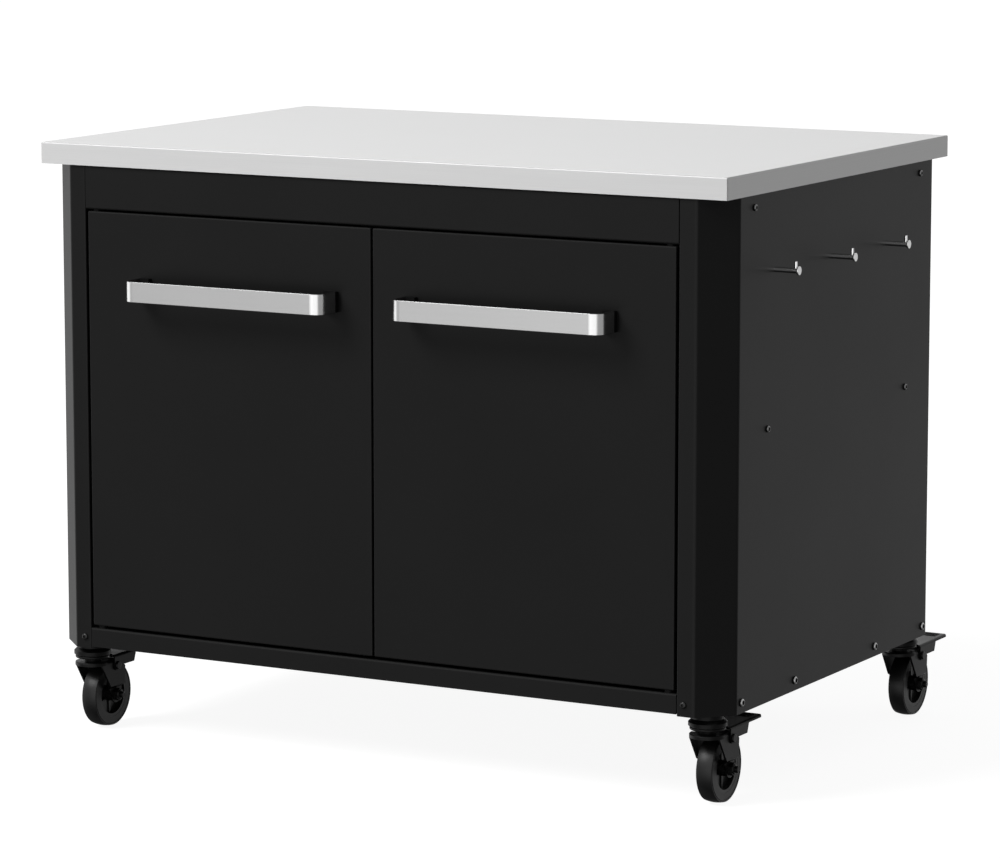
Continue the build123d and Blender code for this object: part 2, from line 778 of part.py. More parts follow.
def caster_wheel():
    """Wheel centre: hub, recessed web with radial spokes, and rim."""
    hub_half = fork_tab_gap / 2 - hub_side_clearance
    rim_outer = tyre_bore - tyre_seat_clearance
    rim_inner = rim_outer - rim_wall
    half = [
        (hub_half, axle_radius + running_clearance),
        (hub_half, hub_radius),
        (web_thickness / 2, hub_radius),
        (web_thickness / 2, rim_inner),
        (rim_width / 2, rim_inner),
        (rim_width / 2, rim_outer),
    ]
    outline = half + [(-x, radius) for x, radius in reversed(half)]
    wheel = revolve(Plane.XZ * make_face(Polyline(*outline, close=True)), Axis.X)
    spoke_start = (axle_radius + hub_radius) / 2
    spoke_end = rim_inner + rim_wall / 2
    spoke = Pos(0, 0, spoke_start) * Box(spoke_width, spoke_thickness, spoke_end - spoke_start, align=BOTTOM)
    spokes = [Rot(turn * 360 / spoke_count, 0, 0) * spoke for turn in range(spoke_count)]
    return Pos(0, caster_trail, axle_z) * (wheel + spokes)


def caster_tyre():
    half = tyre_width / 2
    side_radius = tyre_bore + tyre_side
    outline = [
        Polyline((half, side_radius), (half, tyre_bore), (-half, tyre_bore), (-half, side_radius)),
        ThreePointArc((-half, side_radius), (0, wheel_diameter / 2), (half, side_radius)),
    ]
    tread = make_face([edge for line in outline for edge in line.edges()])
    return Pos(0, caster_trail, axle_z) * revolve(Plane.XZ * tread, Axis.X)


def brake_pedal():
    """Pressed pedal that straddles the fork, with a curved shoe held off the tread until it is trodden down."""
    strap_line = [(pedal_side_x, 0), (pedal_side_x, pedal_top), (-pedal_side_x, pedal_top), (-pedal_side_x, 0)]
    profile = Plane.XZ * sheet_profile(strap_line, [pedal_bend] * 2, pedal_plate)
    strap = extrude(profile, 2 * pedal_end, both=True)
    flange_bottom = pedal_top - pedal_plate - pedal_flange_depth
    plate_bottom = pedal_top - 2 * pedal_plate
    side_view = make_face(
        Polyline(
            (pedal_flange_front, pedal_top),
            (pedal_end, pedal_top),
            (pedal_end, plate_bottom),
            (pedal_flange_rear, plate_bottom),
            (pedal_flange_rear - pedal_flange_slant, flange_bottom),
            (pedal_flange_front, flange_bottom),
            close=True,
        )
    )
    side_view = side_view + Pos(pedal_pivot_y, pedal_pivot_z) * Circle(pedal_ear_radius)
    plan = Pos(0, pedal_end / 2) * RectangleRounded(2 * pedal_side_x, pedal_end, pedal_end_radius)
    pedal = strap & extrude(Plane.YZ * side_view, 2 * pedal_side_x, both=True)
    pedal = pedal & extrude(plan, 2 * pedal_top)
    pedal = pedal - Pos(0, 0, plate_bottom) * Cylinder(cup_radius + pedal_head_clearance, pedal_top, align=BOTTOM)
    shoe = Pos(0, shoe_start, axle_z) * Box(
        shoe_width, shoe_length, pedal_top - pedal_plate / 2 - axle_z, align=(Align.CENTER, Align.MIN, Align.MIN)
    )
    shoe = shoe - along_axle(wheel_diameter / 2 + shoe_gap, -pedal_side_x, 2 * pedal_side_x)
    pedal = pedal + shoe
    return pedal - at_pedal_pivot(pedal_pivot_radius + running_clearance, -2 * pedal_side_x, 4 * pedal_side_x)


# Gather every piece under its own name
upper_seats = upper_screw_seats(-1) + upper_screw_seats(1)
base_seats = base_screw_seats(-1) + base_screw_seats(1)
front_seats = front_screw_seats(-1) + front_screw_seats(1)
back_seats = back_screw_seats(-1) + back_screw_seats(1)
parts = {
    "worktop_skin": worktop_skin(),
    "worktop_core": worktop_core(),
    "worktop_screws": worktop_screws(),
    "back_panel": back_panel(),
    "floor_panel": floor_panel(),
    "fascia_rail": fascia_rail(),
    "sill_rail": sill_rail(),
    "shelf": shelf(),
    "magnetic_catch": magnetic_catch(),
    "hinge_bushes": hinge_bushes(),
    "upper_wall_screws": screw_group(upper_seats, button_head_radius, button_head_height, socket_width),
    "front_strip_screws": screw_group(front_seats, button_head_radius, button_head_height, socket_width),
    "base_screws": screw_group(base_seats, dome_head_radius, dome_head_height, dome_socket_width),
    "back_panel_screws": screw_group(back_seats, button_head_radius, button_head_height, socket_width),
}
for place, seat in zip(("front", "middle", "rear"), hook_seats()):
    parts[f"tool_hook_{place}"] = tool_hook(seat)
for name, side in SIDES.items():
    parts[f"{name}_side_wall"] = side_wall(side)
    parts[f"{name}_base_beam"] = base_beam(side)
    parts[f"{name}_worktop_bearer"] = worktop_bearer(side)
    parts[f"{name}_door_pan"] = door_pan(side)
    parts[f"{name}_door_liner"] = door_liner(side)
    parts[f"{name}_hinge_pins"] = hinge_pins(side)
    parts[f"{name}_handle"] = strap_handle(side)
    parts[f"{name}_handle_pads"] = handle_pads(side)
    parts[f"{name}_handle_screws"] = handle_screws(side)
caster_pieces = {
    "caster_head": caster_head(),
    "caster_fork": caster_fork(),
    "caster_pins": caster_pins(),
    "caster_wheel": caster_wheel(),
    "caster_tyre": caster_tyre(),
    "brake_pedal": brake_pedal(),
}
for corner, (side, end) in CORNERS.items():
    for name, piece in caster_pieces.items():
        parts[f"{name}_{corner}"] = Pos(side * caster_x, end * caster_y, 0) * piece

os.makedirs("parts", exist_ok=True)
for name, part in parts.items():
    export_step(part, f"parts/{name}.step")
print(len(parts), "parts written")
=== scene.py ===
# %% [markdown]
# # An outdoor kitchen on casters
# A sheet-steel cabinet with two doors, a pale worktop, three tool hooks and four braked
# casters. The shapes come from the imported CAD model, which is loaded first and never moved.
# This lesson gives each of them its finish, adds the small pieces that CAD leaves out, and
# sets up the light and the camera.

# %% Load the CAD frame
import json
import math

import bmesh
import bpy
from mathutils import Matrix, Vector


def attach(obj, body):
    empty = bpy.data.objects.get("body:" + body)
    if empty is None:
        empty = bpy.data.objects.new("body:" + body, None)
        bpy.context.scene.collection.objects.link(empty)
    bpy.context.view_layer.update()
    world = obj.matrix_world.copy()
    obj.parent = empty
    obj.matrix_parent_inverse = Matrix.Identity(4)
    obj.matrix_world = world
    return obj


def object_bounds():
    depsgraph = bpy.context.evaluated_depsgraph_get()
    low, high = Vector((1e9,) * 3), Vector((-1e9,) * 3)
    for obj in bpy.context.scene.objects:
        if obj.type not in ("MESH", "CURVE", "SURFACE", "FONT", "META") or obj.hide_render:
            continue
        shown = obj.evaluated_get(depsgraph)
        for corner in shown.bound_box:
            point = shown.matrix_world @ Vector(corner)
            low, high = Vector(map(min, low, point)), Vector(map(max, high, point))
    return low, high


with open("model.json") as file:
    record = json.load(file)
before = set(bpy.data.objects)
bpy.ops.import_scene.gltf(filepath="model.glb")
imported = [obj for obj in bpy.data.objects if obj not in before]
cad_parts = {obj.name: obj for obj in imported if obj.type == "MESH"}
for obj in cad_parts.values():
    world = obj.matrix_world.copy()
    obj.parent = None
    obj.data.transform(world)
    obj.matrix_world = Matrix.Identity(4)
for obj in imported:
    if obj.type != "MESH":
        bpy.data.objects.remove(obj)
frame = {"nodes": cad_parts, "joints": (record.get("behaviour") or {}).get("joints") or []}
cad_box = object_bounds()
nodes = frame["nodes"]
scene = bpy.context.scene
scene.view_settings.view_transform = "Standard"

# %% [markdown]
# ## The camera
# The photograph was taken with a long lens from the front right, a little above the worktop.
# A camera can be placed by eye, but here its place, turn and lens were solved from the
# cabinet's corners, so the render lies on the photograph.

# %% Camera
CAMERA_PLACE = (3.27326, -5.91151, 1.49861)
CAMERA_DOWN = 0.15286  # radians below level
CAMERA_TURN = 0.50529  # radians to the left of straight ahead
CAMERA_LENS = 161.97
SENSOR_WIDTH = 36.0
FARTHEST_SEEN = 60.0

view = bpy.data.cameras.new("view")
view.sensor_fit = "HORIZONTAL"
view.sensor_width = SENSOR_WIDTH
view.lens = CAMERA_LENS
view.clip_end = FARTHEST_SEEN
camera = bpy.data.objects.new("camera", view)
camera.location = CAMERA_PLACE
camera.rotation_euler = (math.pi / 2 - CAMERA_DOWN, 0.0, CAMERA_TURN)
scene.collection.objects.link(camera)
scene.camera = camera
print("camera lens:", view.lens, "mm")

# %% [markdown]
# ## Writing shaders as expressions
# A material is a tree of nodes, and building it by hand takes many lines of links. Here one
# small class wraps a socket, so that `0.4 + 0.1 * haze` adds the Math nodes by itself. A second
# class holds the material and adds every other kind of node through one method.


# %% Signals
class Signal:
    """One output of a node that can be used in a Python expression."""

    def __init__(self, finish, socket):
        self.finish = finish
        self.socket = socket

    def maths(self, operation, first, second):
        return self.finish.node("ShaderNodeMath", {"operation": operation}, {0: first, 1: second})

    def __add__(self, other):
        return self.maths("ADD", self, other)

    def __radd__(self, other):
        return self.maths("ADD", other, self)

    def __sub__(self, other):
        return self.maths("SUBTRACT", self, other)

    def __rsub__(self, other):
        return self.maths("SUBTRACT", other, self)

    def __mul__(self, other):
        return self.maths("MULTIPLY", self, other)

    def __rmul__(self, other):
        return self.maths("MULTIPLY", other, self)

    def __abs__(self):
        return self.maths("ABSOLUTE", self, 0.0)

    def __gt__(self, other):
        return self.maths("GREATER_THAN", self, other)

    def larger(self, other):
        return self.maths("MAXIMUM", self, other)


print("signals ready")

# %% [markdown]
# ## A finish and its nodes
# A finish is a material, or the world, while its nodes are put together. Its first method adds
# any node. The others are short names for the kinds that the recipes below use most. Places and
# directions are read on the piece itself, so a pattern stays put when the piece moves.


# %% Finishes
class Finish:
    """A node tree under construction: a material, or the world."""

    def __init__(self, owner):
        owner.use_nodes = True
        self.owner = owner
        self.tree = owner.node_tree

    def node(self, kind, settings=None, sockets=None, output=0):
        """Add a node: its settings first, then the values or links of its sockets."""
        made = self.tree.nodes.new(kind)
        for key, value in (settings or {}).items():
            if key == "stops":
                ends = made.color_ramp.elements
                while len(ends) < len(value):
                    ends.new(0.5)
                for end, (position, colour) in zip(ends, value):
                    end.position = position
                    end.color = colour
            else:
                setattr(made, key, value)
        for key, value in (sockets or {}).items():
            self.plug(made.inputs[key], value)
        return Signal(self, made.outputs[output])

    def plug(self, socket, value):
        if isinstance(value, Signal):
            self.tree.links.new(value.socket, socket)
        else:
            socket.default_value = value

    def place(self):
        """Where a point is on its piece, in metres."""
        return self.node("ShaderNodeTexCoord", output="Object")

    def facing(self):
        """Which way the surface faces on its piece."""
        return self.node("ShaderNodeTexCoord", output="Normal")

    def ray(self, kind):
        """1 on a ray of this kind, and 0 on all others."""
        return self.node("ShaderNodeLightPath", output=f"Is {kind} Ray")

    def seen_by_camera(self):
        """1 on a ray that comes from the camera, straight or through glass."""
        return self.ray("Camera").larger(self.ray("Transmission"))

    def part_of(self, vector, letter):
        return self.node("ShaderNodeSeparateXYZ", None, {0: vector}, output=letter)

    def stretch(self, vector, scale):
        return self.node("ShaderNodeMapping", None, {"Vector": vector, "Scale": scale})

    def noise(self, vector, scale, detail=2.0, roughness=0.5):
        sockets = {"Vector": vector, "Scale": scale, "Detail": detail, "Roughness": roughness}
        return self.node("ShaderNodeTexNoise", None, sockets)

    def ease(self, value, low, high):
        """0 below low, 1 above high, with a soft change between them."""
        sockets = {"Value": value, "From Min": low, "From Max": high}
        return self.node("ShaderNodeMapRange", {"interpolation_type": "SMOOTHSTEP"}, sockets)

    def mix(self, share, first, second):
        """A colour between two others."""
        settings = {"data_type": "RGBA"}
        return self.node("ShaderNodeMix", settings, {0: share, 6: first, 7: second}, output=2)

    def bump(self, height, strength, distance):
        sockets = {"Height": height, "Strength": strength, "Distance": distance}
        return self.node("ShaderNodeBump", None, sockets)

    def shader(self, sockets):
        """Set the Principled shader's own sockets."""
        principled = self.tree.nodes["Principled BSDF"]
        for key, value in sockets.items():
            self.plug(principled.inputs[key], value)
        return self.owner


def grey(level):
    return (level, level, level, 1.0)


def finish_named(name):
    return Finish(bpy.data.materials.new(name))


print("finishes ready")

# %% [markdown]
# ## Studio light
# The photograph has a white background all round and soft light from the front left. The
# world plays three parts, told apart by the kind of ray: it is white to the camera, it gives a
# low, even light to matt surfaces, and a mirror-like surface sees soft boxes in it. Those boxes
# are levels by direction: bright on the left and behind the camera, dark on the right and low
# down.

# %% Levels of the studio
WORLD_LIGHT = 0.295
MIRROR_GAIN = 2.0
LOW_SHARE = 0.12  # what is left of a mirrored level low down
LOW_RISE = (-0.62, -0.24)  # heights between which the full level comes back
FRONT_PANEL = (-0.5, -0.866, 0.0)  # what the fronts mirror to the camera
PANEL_EDGE = (0.75, 0.95)
PANEL_RISE = (-0.26, -0.04)
PANEL_GAIN = 0.55
PANEL_LOSS = 0.25
# Each stop is a share of a full turn, from the back by way of the left, and its level.
MIRROR_STOPS = (
    (0.00, 0.48),
    (0.09, 0.48),
    (0.17, 0.25),
    (0.21, 0.85),
    (0.31, 0.85),
    (0.345, 0.34),
    (0.404, 0.34),
    (0.424, 0.44),
    (0.434, 0.52),
    (0.456, 0.90),
    (0.610, 0.90),
    (0.645, 0.27),
    (0.85, 0.26),
    (0.91, 0.31),
    (1.00, 0.48),
)
print("world light:", WORLD_LIGHT, "mirror stops:", len(MIRROR_STOPS))

# %% [markdown]
# ## The world's nodes
# The world's Generated coordinate is the direction that a ray leaves in. Its turn about the
# vertical picks the level between the stops, and its height dims what lies low. The panel before
# the fronts then lifts or lowers the level a little round its own direction.

# %% World
world = bpy.data.worlds.new("studio")
scene.world = world
studio = Finish(world)
seen = studio.seen_by_camera()
mirrored = studio.ray("Glossy")
direction = studio.node("ShaderNodeTexCoord", output="Generated")
across = studio.part_of(direction, "X")
ahead = 0.0 - studio.part_of(direction, "Y")
turn = across.maths("ARCTAN2", across, ahead) * (0.5 / math.pi) + 0.5
stops = [(position, grey(level)) for position, level in MIRROR_STOPS]
mirror_level = studio.node("ShaderNodeValToRGB", {"stops": stops}, {0: turn})
height = studio.part_of(direction, "Z")
above = LOW_SHARE + (1.0 - LOW_SHARE) * studio.ease(height, *LOW_RISE)
dot = {"operation": "DOT_PRODUCT"}
to_panel = studio.node("ShaderNodeVectorMath", dot, {0: direction, 1: FRONT_PANEL}, output="Value")
panel_level = PANEL_GAIN * studio.ease(height, *PANEL_RISE) - PANEL_LOSS
panel = studio.ease(to_panel, *PANEL_EDGE) * panel_level
mirror_level = studio.part_of(mirror_level, "X") * above * (1.0 + panel) * MIRROR_GAIN
level = WORLD_LIGHT + mirrored * (mirror_level - WORLD_LIGHT)
level = level + seen * (1.0 - level)
background = studio.tree.nodes["Background"]
background.inputs["Color"].default_value = grey(1.0)
studio.plug(background.inputs["Strength"], level)
print("world nodes:", len(studio.tree.nodes))

# %% [markdown]
# ## The key lamp
# One large disk hangs in front, high on the left, and points at the middle of the cabinet. It
# makes the worktop and the fronts brighter than the right-hand side. The wider a lamp is, the
# softer its shadows are.

# %% Key lamp
LAMP_PLACE = Vector((-4.4, -6.2, 7.3))
LAMP_TARGET = Vector((0.0, 0.0, 0.5))
LAMP_WIDTH = 5.0
LAMP_POWER = 890.0

light = bpy.data.lights.new("key_lamp", "AREA")
light.shape = "DISK"
light.size = LAMP_WIDTH
light.energy = LAMP_POWER
lamp = bpy.data.objects.new("key_lamp", light)
lamp.location = LAMP_PLACE
lamp.rotation_euler = (LAMP_TARGET - LAMP_PLACE).to_track_quat("-Z", "Y").to_euler()
lamp.visible_camera = False
scene.collection.objects.link(lamp)
print("lamp:", lamp.name, LAMP_POWER, "W")

# %% [markdown]
# ## The floor
# The floor has to look as white as the background and still hold the casters' soft shadow. A
# plain white sheet would need far more light, so this one adds a glow that only the camera
# sees, and its own matt part takes the shadow. Reflections don't see the floor: the world's
# levels already say how dark the studio is low down.

# %% Floor finish
FLOOR_GLOW = 0.92
GLOW_RANGE = (0.6, 2.2)  # metres from the middle, between which the glow rises to 1
FLOOR_MATT = 0.20
PAPER_GRAIN = 0.02

paper = finish_named("studio_floor")
tree = paper.tree
tree.nodes.remove(tree.nodes["Principled BSDF"])
seen = paper.seen_by_camera()
place = paper.place()
distance = paper.node("ShaderNodeVectorMath", {"operation": "LENGTH"}, {0: place}, output="Value")
far = paper.ease(distance, *GLOW_RANGE)
fibre = paper.noise(place, 40.0, 3.0)
matt_colour = paper.mix(fibre, grey(FLOOR_MATT), grey(FLOOR_MATT + PAPER_GRAIN))
matt = paper.node("ShaderNodeBsdfDiffuse", None, {"Color": matt_colour})
strength = seen * (FLOOR_GLOW + (1.0 - FLOOR_GLOW) * far)
glow = paper.node("ShaderNodeEmission", None, {"Color": grey(1.0), "Strength": strength})
both = paper.node("ShaderNodeAddShader", None, {0: matt, 1: glow})
paper.plug(tree.nodes["Material Output"].inputs["Surface"], both)
print("floor finish:", paper.owner.name)

# %% [markdown]
# ## The floor's sheet
# The sheet lies half a millimetre below the wheels, so that the two never share a face, and it
# reaches past the picture on every side.

# %% Floor sheet
FLOOR_HALF = 20.0
FLOOR_DROP = 0.0005

sheet = bmesh.new()
bmesh.ops.create_grid(sheet, x_segments=4, y_segments=4, size=FLOOR_HALF)
floor_mesh = bpy.data.meshes.new("floor")
sheet.to_mesh(floor_mesh)
sheet.free()
floor = bpy.data.objects.new("floor", floor_mesh)
floor.location = (0.0, 0.0, cad_box[0][2] - FLOOR_DROP)
floor.visible_glossy = False
floor.data.materials.append(paper.owner)
scene.collection.objects.link(floor)
print("floor half width:", FLOOR_HALF, "m")

# %% [markdown]
# ## Black powder coat
# Walls, doors, rails and panels are sheet steel with a satin black powder coat. Baked powder
# melts into a fine orange peel of about two millimetres with a grain below it, and hands leave
# a faint haze. Both are noise on Object coordinates, so they hold to the piece when a door
# swings. Little of the coat's shine is mirror-like, so its specular level is low. The powder
# pulls back from the rims that lean up or down, and dries rougher there.

# %% Powder coat
RIM_LEAN = (0.10, 0.35)  # how far a face leans where a rim begins
FLAT_LEAN = (0.93, 0.995)  # and where it becomes a level flat


def powder_coat(name, dark, light, roughness, specular):
    coat = finish_named(name)
    place = coat.place()
    peel = coat.noise(place, 460.0, 2.0)
    grain = coat.noise(place, 1900.0, 1.0)
    haze = coat.noise(place, 4.0, 4.0, 0.6)
    share = 0.6 * haze + 0.4 * grain
    lean = abs(coat.part_of(coat.facing(), "Z"))
    rim = coat.ease(lean, *RIM_LEAN) * (1.0 - coat.ease(lean, *FLAT_LEAN))
    return coat.shader(
        {
            "Base Color": coat.mix(share, grey(dark), grey(light)),
            "Roughness": roughness + 0.10 * (haze - 0.5) + 0.08 * (peel - 0.5) + 0.30 * rim,
            "Specular IOR Level": specular,
            "Normal": coat.bump(0.6 * peel + 0.4 * grain, 0.10, 0.0004),
        }
    )


black_coat = powder_coat("black_powder_coat", 0.0065, 0.0105, 0.36, 0.10)
print("coat:", black_coat.name)

# %% [markdown]
# ## Satin worktop steel
# The worktop skin is stainless sheet with a fine, pale satin finish. Belt grinding leaves hair
# lines along its length, and along each folded edge. Noise that is stretched along one axis
# gives hair lines, and the surface's own direction picks the axis. It also tells the folds from
# the flats, since a flat faces along one axis and a fold between two. The folds are painted a
# darker colour, a painted shade that tones down their highlight, and the front and rear edges
# carry a painted shade that makes them a little darker than the top.

# %% Worktop steel
FACES_ALONG = 0.7  # above this, a face looks along that axis
FOLD_FACING = (0.80, 0.995)


def worktop_steel():
    steel = finish_named("satin_worktop_steel")
    place = steel.place()
    along_x = steel.noise(steel.stretch(place, (5.0, 800.0, 800.0)), 1.0, 3.0)
    along_y = steel.noise(steel.stretch(place, (800.0, 5.0, 800.0)), 1.0, 3.0)
    to_end, to_front, to_top = (abs(steel.part_of(steel.facing(), letter)) for letter in "XYZ")
    on_end = to_end > FACES_ALONG
    # painted shade: the folds take a darker colour, which tones down their highlight
    shaded_fold = 1.0 - steel.ease(to_end.larger(to_front).larger(to_top), *FOLD_FACING)
    hair = along_x * (1.0 - on_end) + along_y * on_end
    wipe = steel.noise(steel.stretch(place, (2.0, 5.0, 5.0)), 1.0, 4.0, 0.55)
    # painted shade: faces that look to the front or rear are made darker than the top
    share = 0.6 * hair + 0.4 * wipe - 0.35 * (to_front > FACES_ALONG)
    flat_colour_and_front_shade = steel.mix(share, grey(0.70), grey(0.80))
    return steel.shader(
        {
            "Base Color": steel.mix(shaded_fold, flat_colour_and_front_shade, grey(0.48)),
            "Metallic": 0.15,
            "Roughness": 0.42 + 0.12 * (hair - 0.5) + 0.10 * (wipe - 0.5),
            "Normal": steel.bump(hair, 0.06, 0.0002),
        }
    )


pale_steel = worktop_steel()
print("worktop:", pale_steel.name)

# %% [markdown]
# ## Brushed strap steel
# Each handle is one bent strap of stainless steel, brushed along its length. The lines run
# round the bends, so the pattern changes quickly with height and slowly in the other two
# directions. The sheared rims, which face up and down, are painted a darker colour than the
# brushed face: a painted shade that tones down their highlight.

# %% Strap steel
STRAP_RIM_SHADE = (0.03, 0.35)  # how far the surface leans where the rim's rounding runs


def strap_steel():
    steel = finish_named("brushed_strap_steel")
    place = steel.place()
    hair = steel.noise(steel.stretch(place, (9.0, 9.0, 2400.0)), 1.0, 3.0)
    streak = steel.noise(steel.stretch(place, (3.0, 3.0, 420.0)), 1.0, 2.0)
    print_mark = steel.noise(place, 22.0, 3.0)
    share = 0.55 * hair + 0.45 * streak
    # painted shade: the rims that face up and down take a darker colour below
    rim = steel.ease(abs(steel.part_of(steel.facing(), "Z")), *STRAP_RIM_SHADE)
    face_colour = steel.mix(share, grey(0.51), grey(0.57))
    return steel.shader(
        {
            "Base Color": steel.mix(rim, face_colour, grey(0.20)),
            "Metallic": 1.0,
            "Roughness": 0.22 + 0.08 * (hair - 0.5) + 0.06 * (print_mark - 0.5),
            "Normal": steel.bump(hair, 0.05, 0.0002),
        }
    )


bright_strap = strap_steel()
print("strap:", bright_strap.name)

# %% [markdown]
# ## Turned and plated metal
# The hooks are turned bar with a bright polish, the hidden screws are zinc plated, and the back
# panel's screws are blackened. The door pivots take the same dark finish. They share one recipe:
# a metal with fine tool marks round the bar, a little cloudiness in the plating, and a roughness
# that follows both.


# %% Small metal
def plated_metal(name, dark, light, roughness, cloud_scale):
    metal = finish_named(name)
    place = metal.place()
    cloud = metal.noise(place, cloud_scale, 4.0, 0.6)
    marks = metal.noise(metal.stretch(place, (2600.0, 500.0, 500.0)), 1.0, 2.0)
    share = 0.7 * cloud + 0.3 * marks
    return metal.shader(
        {
            "Base Color": metal.mix(share, grey(dark), grey(light)),
            "Metallic": 1.0,
            "Roughness": roughness + 0.14 * (cloud - 0.5) + 0.08 * (marks - 0.5),
            "Normal": metal.bump(marks, 0.08, 0.0001),
        }
    )


polished_bar = plated_metal("polished_bar", 0.66, 0.78, 0.16, 160.0)
zinc_plate = plated_metal("zinc_plate", 0.46, 0.66, 0.30, 420.0)
black_oxide = plated_metal("black_oxide", 0.008, 0.028, 0.40, 500.0)
print("small metals:", polished_bar.name, zinc_plate.name, black_oxide.name)

# %% [markdown]
# ## Plastic, rubber and caster metal
# The handle pads and bushes are moulded with a fine spark-eroded grain, and they are coloured
# darker than black plastic: a painted shade for the gaps where they sit. The tyre is satin rubber
# with a faint bloom, the wheel centre is smooth moulded nylon, and the casters' pressings have a
# dip coat that is a little glossier than the cabinet's powder. The screws in the front strips
# have a gloss coat that catches a small highlight.


# %% Moulded and dipped finishes
def moulded(name, dark, light, roughness, grain_scale, grain_depth, specular):
    mould = finish_named(name)
    place = mould.place()
    grain = mould.noise(place, grain_scale, 2.0)
    flow = mould.noise(place, 30.0, 4.0, 0.6)
    return mould.shader(
        {
            "Base Color": mould.mix(0.6 * flow + 0.4 * grain, grey(dark), grey(light)),
            "Roughness": roughness + 0.14 * (flow - 0.5) + 0.10 * (grain - 0.5),
            "Specular IOR Level": specular,
            "Normal": mould.bump(grain, grain_depth, 0.0003),
        }
    )


# painted shade: darker than black plastic, for the gaps where the pads, bushes and catch sit
shade_dark_pad_plastic = moulded("shade_dark_pad_plastic", 0.0025, 0.005, 0.5, 1500.0, 0.2, 0.06)
wheel_nylon = moulded("wheel_nylon", 0.005, 0.010, 0.36, 900.0, 0.06, 0.22)
tyre_rubber = moulded("tyre_rubber", 0.006, 0.013, 0.38, 700.0, 0.12, 0.20)
caster_dip = moulded("caster_dip_coat", 0.003, 0.007, 0.34, 380.0, 0.06, 0.10)
caster_bolt = moulded("caster_bolt_coat", 0.003, 0.007, 0.30, 900.0, 0.08, 0.12)
screw_gloss = moulded("screw_gloss_coat", 0.008, 0.012, 0.18, 900.0, 0.03, 0.26)
print("materials so far:", len(bpy.data.materials))

# %% [markdown]
# ## Core board
# Under the steel skin lies a board that keeps the worktop from drumming. It shows only from
# below: pressed wood fibre with flakes in two browns.

# %% Core board
DARK_FLAKE = (0.20, 0.12, 0.065, 1.0)
PALE_FLAKE = (0.42, 0.29, 0.17, 1.0)


def core_board():
    board = finish_named("core_board")
    place = board.place()
    sockets = {"Vector": board.stretch(place, (1.0, 1.0, 3.0)), "Scale": 260.0}
    flake = board.node("ShaderNodeTexVoronoi", None, sockets, output="Color")
    fibre = board.noise(place, 700.0, 3.0)
    share = 0.6 * board.part_of(flake, "X") + 0.4 * fibre
    return board.shader(
        {
            "Base Color": board.mix(share, DARK_FLAKE, PALE_FLAKE),
            "Roughness": 0.7 + 0.2 * (fibre - 0.5),
            "Normal": board.bump(share, 0.25, 0.0005),
        }
    )


fibre_board = core_board()
print("board:", fibre_board.name)

# %% [markdown]
# ## Socket screws in the walls
# The screws in the side walls are lighter metal on their domes, while their flanks, their hexagon
# sockets and the flats round those are coloured dark: a painted shade, which on the black screws
# lies over their own black. No piece of its own is needed for that. All these screws point
# sideways, so two readings tell where a point is: the dome leans towards X, and it lies farther
# out than the floor of the socket.

# %% Socket screws
SOCKET_FLOOR = 0.5676  # metres from the cabinet's middle
SOCKET_RIM = 0.5682
DOME_LEAN = (0.30, 0.55)
TOP_FLAT = (0.985, 0.999)


def socket_screw(name, dark, low, high):
    screw = finish_named(name)
    place = screw.place()
    reach = abs(screw.part_of(place, "X"))
    sideways = abs(screw.part_of(screw.facing(), "X"))
    domed = screw.ease(sideways, *DOME_LEAN) * (1.0 - screw.ease(sideways, *TOP_FLAT))
    # painted shade: outside this mask the flanks, sockets and flats take the dark colour
    unshaded_dome = domed * screw.ease(reach, SOCKET_FLOOR, SOCKET_RIM)
    cloud = screw.noise(place, 420.0, 4.0, 0.6)
    dome_colour = screw.mix(cloud, grey(low), grey(high))
    return screw.shader(
        {
            "Base Color": screw.mix(unshaded_dome, grey(dark), dome_colour),
            "Metallic": unshaded_dome,
            "Roughness": 0.50 - 0.20 * unshaded_dome + 0.12 * (cloud - 0.5),
            "Specular IOR Level": 0.10,
            "Normal": screw.bump(cloud, 0.06, 0.0001),
        }
    )


# the dark level is painted shade; on the black screws it is also their own black
zinc_socket = socket_screw("zinc_socket_screw", 0.008, 0.44, 0.60)
black_socket = socket_screw("black_socket_screw", 0.004, 0.18, 0.26)
print("socket screws:", zinc_socket.name, black_socket.name)

# %% [markdown]
# ## Dressing the CAD model
# Each CAD node takes one finish. The nodes come in families, so the names are built from the
# side or the corner that the piece belongs to.

# %% Give every CAD node its finish
SIDES = ("left", "right")
CORNERS = ("front_left", "front_right", "rear_left", "rear_right")


def dress(finish, *names):
    for name in names:
        slots = nodes[name].data.materials
        slots.clear()
        slots.append(finish)


dress(pale_steel, "worktop_skin")
dress(fibre_board, "worktop_core")
dress(zinc_plate, "worktop_screws")
dress(zinc_socket, "base_screws")
dress(black_socket, "upper_wall_screws")
dress(black_coat, "back_panel", "floor_panel", "fascia_rail", "sill_rail", "shelf")
dress(black_oxide, "back_panel_screws")
dress(screw_gloss, "front_strip_screws")
dress(shade_dark_pad_plastic, "magnetic_catch", "hinge_bushes")
dress(polished_bar, "tool_hook_front", "tool_hook_middle", "tool_hook_rear")
for side in SIDES:
    dress(black_coat, f"{side}_side_wall", f"{side}_base_beam", f"{side}_worktop_bearer")
    dress(black_coat, f"{side}_door_pan", f"{side}_door_liner")
    dress(bright_strap, f"{side}_handle")
    dress(shade_dark_pad_plastic, f"{side}_handle_pads")
    dress(zinc_plate, f"{side}_handle_screws")
    dress(black_oxide, f"{side}_hinge_pins")
for corner in CORNERS:
    dress(caster_dip, f"caster_head_{corner}", f"caster_fork_{corner}", f"brake_pedal_{corner}")
    dress(caster_bolt, f"caster_pins_{corner}")
    dress(wheel_nylon, f"caster_wheel_{corner}")
    dress(tyre_rubber, f"caster_tyre_{corner}")
print("dressed nodes:", len(nodes))

